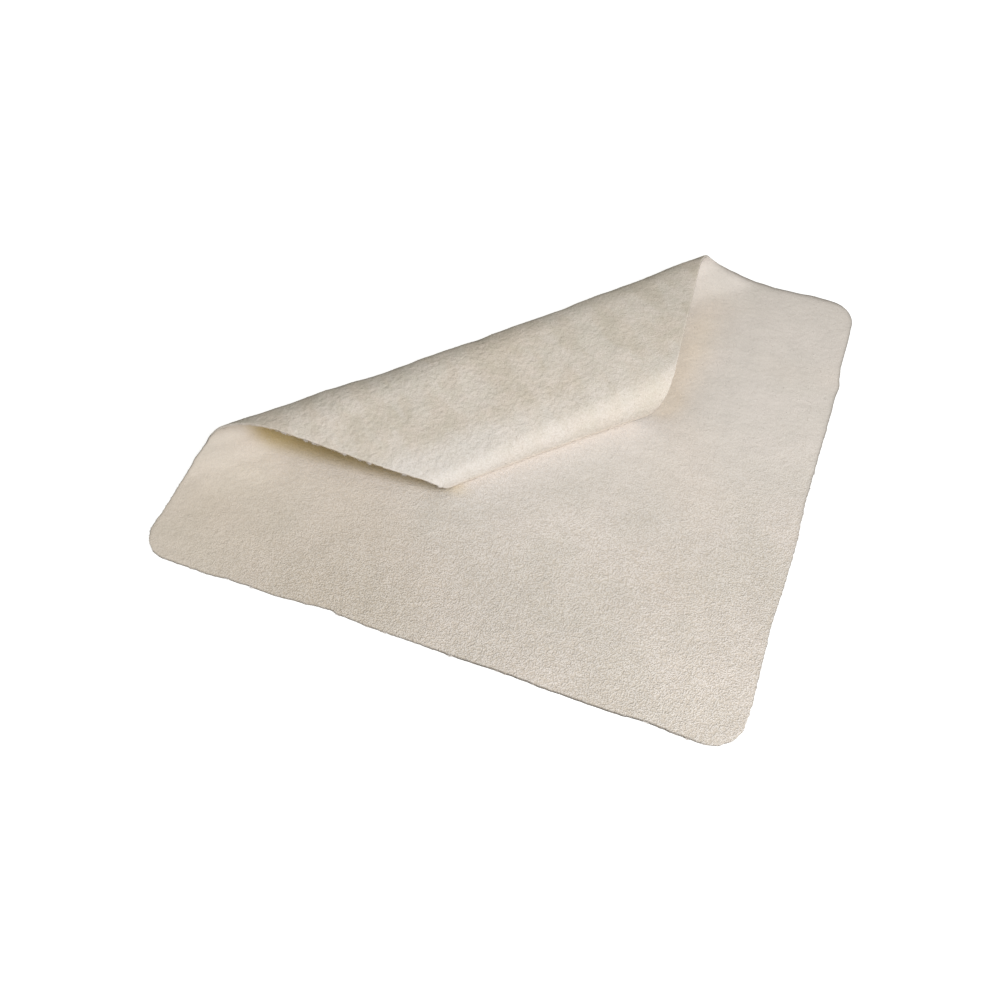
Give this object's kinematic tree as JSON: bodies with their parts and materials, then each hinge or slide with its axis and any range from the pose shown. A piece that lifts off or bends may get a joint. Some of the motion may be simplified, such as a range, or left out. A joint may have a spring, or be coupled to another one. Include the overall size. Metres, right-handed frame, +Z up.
{
  "type": "chamois leather",
  "caption": "Square natural chamois leather with round corners, lying flat with its back left corner rolled over and the tip tucked under.",
  "frame": {"origin": "under the middle of the square, on the surface it lies on", "axes": "+X along the front edge to the right, +Y from the front edge to the back, +Z up"},
  "size_m": [0.2001, 0.2001, 0.0211],
  "materials": {
    "chamois_suede": "matt suede nap on both faces"
  },
  "bodies": {
    "root": {"chamois_leather": "chamois_suede"}
  },
  "joints": []
}
